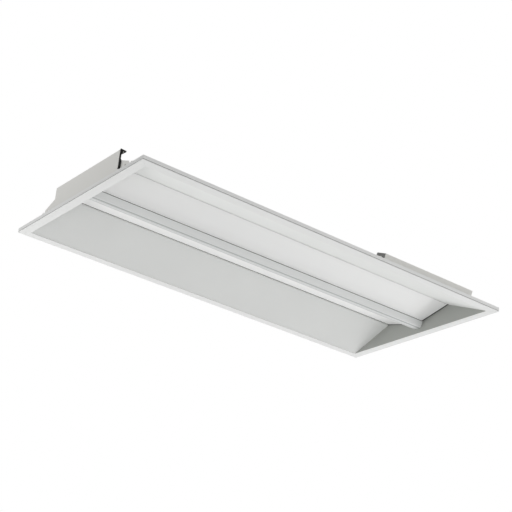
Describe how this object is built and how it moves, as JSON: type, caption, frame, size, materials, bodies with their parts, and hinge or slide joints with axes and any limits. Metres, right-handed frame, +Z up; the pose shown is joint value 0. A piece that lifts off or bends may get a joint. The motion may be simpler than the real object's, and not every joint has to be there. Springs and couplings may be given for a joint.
{
  "type": "recessed troffer light",
  "caption": "Recessed lay-in ceiling light: centre bar, sloping diffuser lenses, side reflectors and trim, with a driver box under a hinged cover and swing-out grid clips.",
  "frame": {"origin": "centre of the trim flange, on its underside, which rests on the ceiling grid", "axes": "+X along the length, with the driver box towards +X; +Y across, away from the driver box; +Z up into the ceiling void"},
  "size_m": [1.2128, 0.6032, 0.0916],
  "materials": {
    "bar_white": "painted aluminium extrusion, low sheen",
    "board_white": "white solder mask and white nylon",
    "clip_steel": "zinc plated spring steel",
    "driver_case": "white painted steel case",
    "end_plate_grey": "matt light grey paint",
    "ground_green": "green passivated steel",
    "hook_black": "black oxide steel",
    "housing_grey": "pre-painted steel sheet, satin",
    "led_yellow": "phosphor",
    "lens_opal": "opal acrylic diffuser, satin",
    "reflector_white": "matt high-reflectance white paint",
    "seal_black": "closed-cell foam strip",
    "terminal_grey": "moulded nylon",
    "trim_white": "smooth white powder coat, low sheen",
    "zinc": "zinc plated"
  },
  "bodies": {
    "fixture": {"back_pan": "reflector_white", "bar_end_plug_left": "bar_white", "bar_end_plug_right": "bar_white", "bar_screws": "zinc", "board_connectors": "board_white", "board_screws": "zinc", "box_knockout": "housing_grey", "box_studs": "zinc", "centre_bar": "bar_white", "clip_rivets": "zinc", "corner_keys": "zinc", "cover_hinge_pins": "zinc", "driver_box": "housing_grey", "driver_screws": "zinc", "foot_studs": "zinc", "ground_screw": "ground_green", "hanger_hook_left": "hook_black", "hanger_hook_right": "hook_black", "hook_rivets": "zinc", "housing_end_cap_left": "housing_grey", "housing_end_cap_right": "housing_grey", "inner_end_plate_left": "end_plate_grey", "inner_end_plate_right": "end_plate_grey", "led_board_left": "board_white", "led_board_right": "board_white", "led_driver": "driver_case", "led_packages": "led_yellow", "lens_end_seals": "seal_black", "lens_far": "lens_opal", "lens_near": "lens_opal", "pan_screws": "zinc", "side_reflector_far": "reflector_white", "side_reflector_near": "reflector_white", "terminal_block": "terminal_grey", "trim_rail_far": "trim_white", "trim_rail_left": "trim_white", "trim_rail_near": "trim_white", "trim_rail_right": "trim_white"},
    "cover": {"driver_cover": "housing_grey"},
    "clip_near_left": {"grid_clip_near_left": "clip_steel"},
    "clip_near_right": {"grid_clip_near_right": "clip_steel"},
    "clip_far_left": {"grid_clip_far_left": "clip_steel"},
    "clip_far_right": {"grid_clip_far_right": "clip_steel"}
  },
  "joints": [
    {"name": "clip_near_left_swing", "type": "hinge", "parent": "fixture", "child": "clip_near_left", "pos_m": [-0.5873, -0.256, 0.008], "axis": [1, 0, 0], "range_deg": [0, 140]},
    {"name": "clip_near_right_swing", "type": "hinge", "parent": "fixture", "child": "clip_near_right", "pos_m": [0.5873, -0.256, 0.008], "axis": [1, 0, 0], "range_deg": [0, 140]},
    {"name": "clip_far_left_swing", "type": "hinge", "parent": "fixture", "child": "clip_far_left", "pos_m": [-0.5873, 0.256, 0.008], "axis": [-1, 0, 0], "range_deg": [0, 140]},
    {"name": "clip_far_right_swing", "type": "hinge", "parent": "fixture", "child": "clip_far_right", "pos_m": [0.5873, 0.256, 0.008], "axis": [-1, 0, 0], "range_deg": [0, 140]},
    {"name": "cover_hinge", "type": "hinge", "parent": "fixture", "child": "cover", "pos_m": [0.39443, -0.20033, 0.07883], "axis": [-1, 0, 0], "range_deg": [0, 110]}
  ]
}
